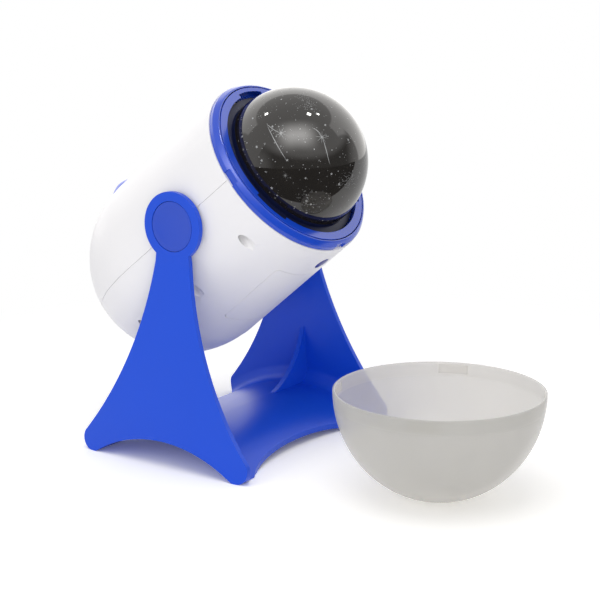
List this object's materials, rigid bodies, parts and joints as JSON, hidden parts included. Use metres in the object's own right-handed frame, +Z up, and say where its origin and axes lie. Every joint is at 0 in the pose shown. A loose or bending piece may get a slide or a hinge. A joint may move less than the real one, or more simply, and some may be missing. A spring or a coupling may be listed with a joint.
{
  "type": "star projector",
  "caption": "Tilting star projector: a motor-turned smoked dome in a rounded head, on a one-piece two-legged stand, with a separate frosted cover.",
  "frame": {"origin": "middle of the whole set's footprint, on the floor", "axes": "+Z up; the dome points towards -Y and up; the tilt axis runs along X"},
  "size_m": [0.1826, 0.3596, 0.2476],
  "materials": {
    "blue_plastic": "satin moulded blue ABS",
    "dark_blue_plastic": "satin moulded dark blue ABS",
    "white_shell": "satin moulded white ABS",
    "smoked_plastic": "polished smoked acrylic with printed stars",
    "frosted_plastic": "frosted translucent polypropylene",
    "steel_screws": "zinc-plated steel",
    "fibre_washer": "grey fibre",
    "gear_plastic": "natural acetal",
    "gear_brass": "turned brass",
    "motor_can": "drawn metal can",
    "inner_plastic": "black moulded ABS",
    "lamp_aluminium": "turned aluminium",
    "board_green": "green solder mask on glass fibre",
    "led_lens": "clear silicone over phosphor",
    "battery_sleeve": "printed sleeve, left plain",
    "contact_nickel": "nickel-plated spring steel",
    "component_black": "black moulded epoxy"
  },
  "bodies": {
    "stand": {"stand": "blue_plastic"},
    "head": {"upper_shell": "white_shell", "lower_shell": "white_shell", "shell_screws": "steel_screws", "pivot_pin_left": "blue_plastic", "pivot_pin_right": "blue_plastic", "pivot_screw_left": "steel_screws", "pivot_screw_right": "steel_screws", "pivot_washer_left": "steel_screws", "pivot_washer_right": "steel_screws", "friction_washer_left": "fibre_washer", "friction_washer_right": "fibre_washer", "bezel_ring": "blue_plastic", "drive_gear_pin": "steel_screws", "drive_motor": "motor_can", "chassis_plate": "inner_plastic", "lamp_post": "lamp_aluminium", "lamp_screws": "steel_screws", "lamp_board": "board_green", "lamp_led": "led_lens", "battery_bay": "inner_plastic", "battery_1": "battery_sleeve", "battery_2": "battery_sleeve", "battery_3": "battery_sleeve", "battery_4": "battery_sleeve", "battery_contacts": "contact_nickel", "battery_springs": "contact_nickel", "power_button_spring": "contact_nickel", "power_switch": "component_black", "power_switch_board": "board_green", "motor_switch": "component_black", "motor_switch_board": "board_green", "main_board": "board_green", "board_components": "component_black", "board_screws": "steel_screws"},
    "turntable": {"turntable": "blue_plastic"},
    "dome": {"star_dome": "smoked_plastic"},
    "drive_gear": {"drive_gear": "gear_plastic"},
    "motor_rotor": {"motor_pinion": "gear_brass"},
    "power_button": {"power_button": "blue_plastic"},
    "motor_button": {"motor_button": "dark_blue_plastic"},
    "battery_door": {"battery_door": "white_shell"},
    "cover": {"diffuser_cover": "frosted_plastic"}
  },
  "joints": [
    {"name": "head_tilt", "type": "hinge", "parent": "stand", "child": "head", "pos_m": [0.00478, 0.06527, 0.16], "axis": [-1, 0, 0], "range_deg": [-39, 51]},
    {"name": "turntable_spin", "type": "hinge", "parent": "head", "child": "turntable", "pos_m": [0.00478, 0.06527, 0.16], "axis": [0, -0.7771, 0.6293], "continuous": true},
    {"name": "dome_twist", "type": "hinge", "parent": "turntable", "child": "dome", "pos_m": [0.00478, 0.06527, 0.16], "axis": [0, 0.7771, -0.6293], "range_deg": [0, 28]},
    {"name": "drive_gear_spin", "type": "hinge", "parent": "head", "child": "drive_gear", "pos_m": [0.04492, 0.08296, 0.18184], "axis": [0, -0.7771, 0.6293], "continuous": true},
    {"name": "motor_spin", "type": "hinge", "parent": "head", "child": "motor_rotor", "pos_m": [0.03386, 0.07808, 0.17582], "axis": [0, -0.7771, 0.6293], "continuous": true},
    {"name": "power_press", "type": "slide", "parent": "head", "child": "power_button", "axis": [0, -0.7915, -0.6112], "range_m": [0, 0.0025], "stiffness_N_per_m": 500, "springref_m": -0.002, "deforming": ["power_button_spring"]},
    {"name": "motor_button_press", "type": "slide", "parent": "head", "child": "motor_button", "axis": [0, 0.6293, 0.7771], "range_m": [0, 0.0012], "stiffness_N_per_m": 600, "springref_m": -0.001},
    {"name": "battery_door_lift", "type": "slide", "parent": "head", "child": "battery_door", "axis": [0, -0.6293, -0.7771], "range_m": [0, 0.025]},
    {"name": "cover_lift", "type": "slide", "parent": "stand", "child": "cover", "axis": [0, 0, 1], "range_m": [0, 0.1]}
  ],
  "couplings": [
    {"joint": "drive_gear_spin", "follows": "turntable_spin", "ratio": 8},
    {"joint": "motor_spin", "follows": "turntable_spin", "ratio": -32}
  ]
}
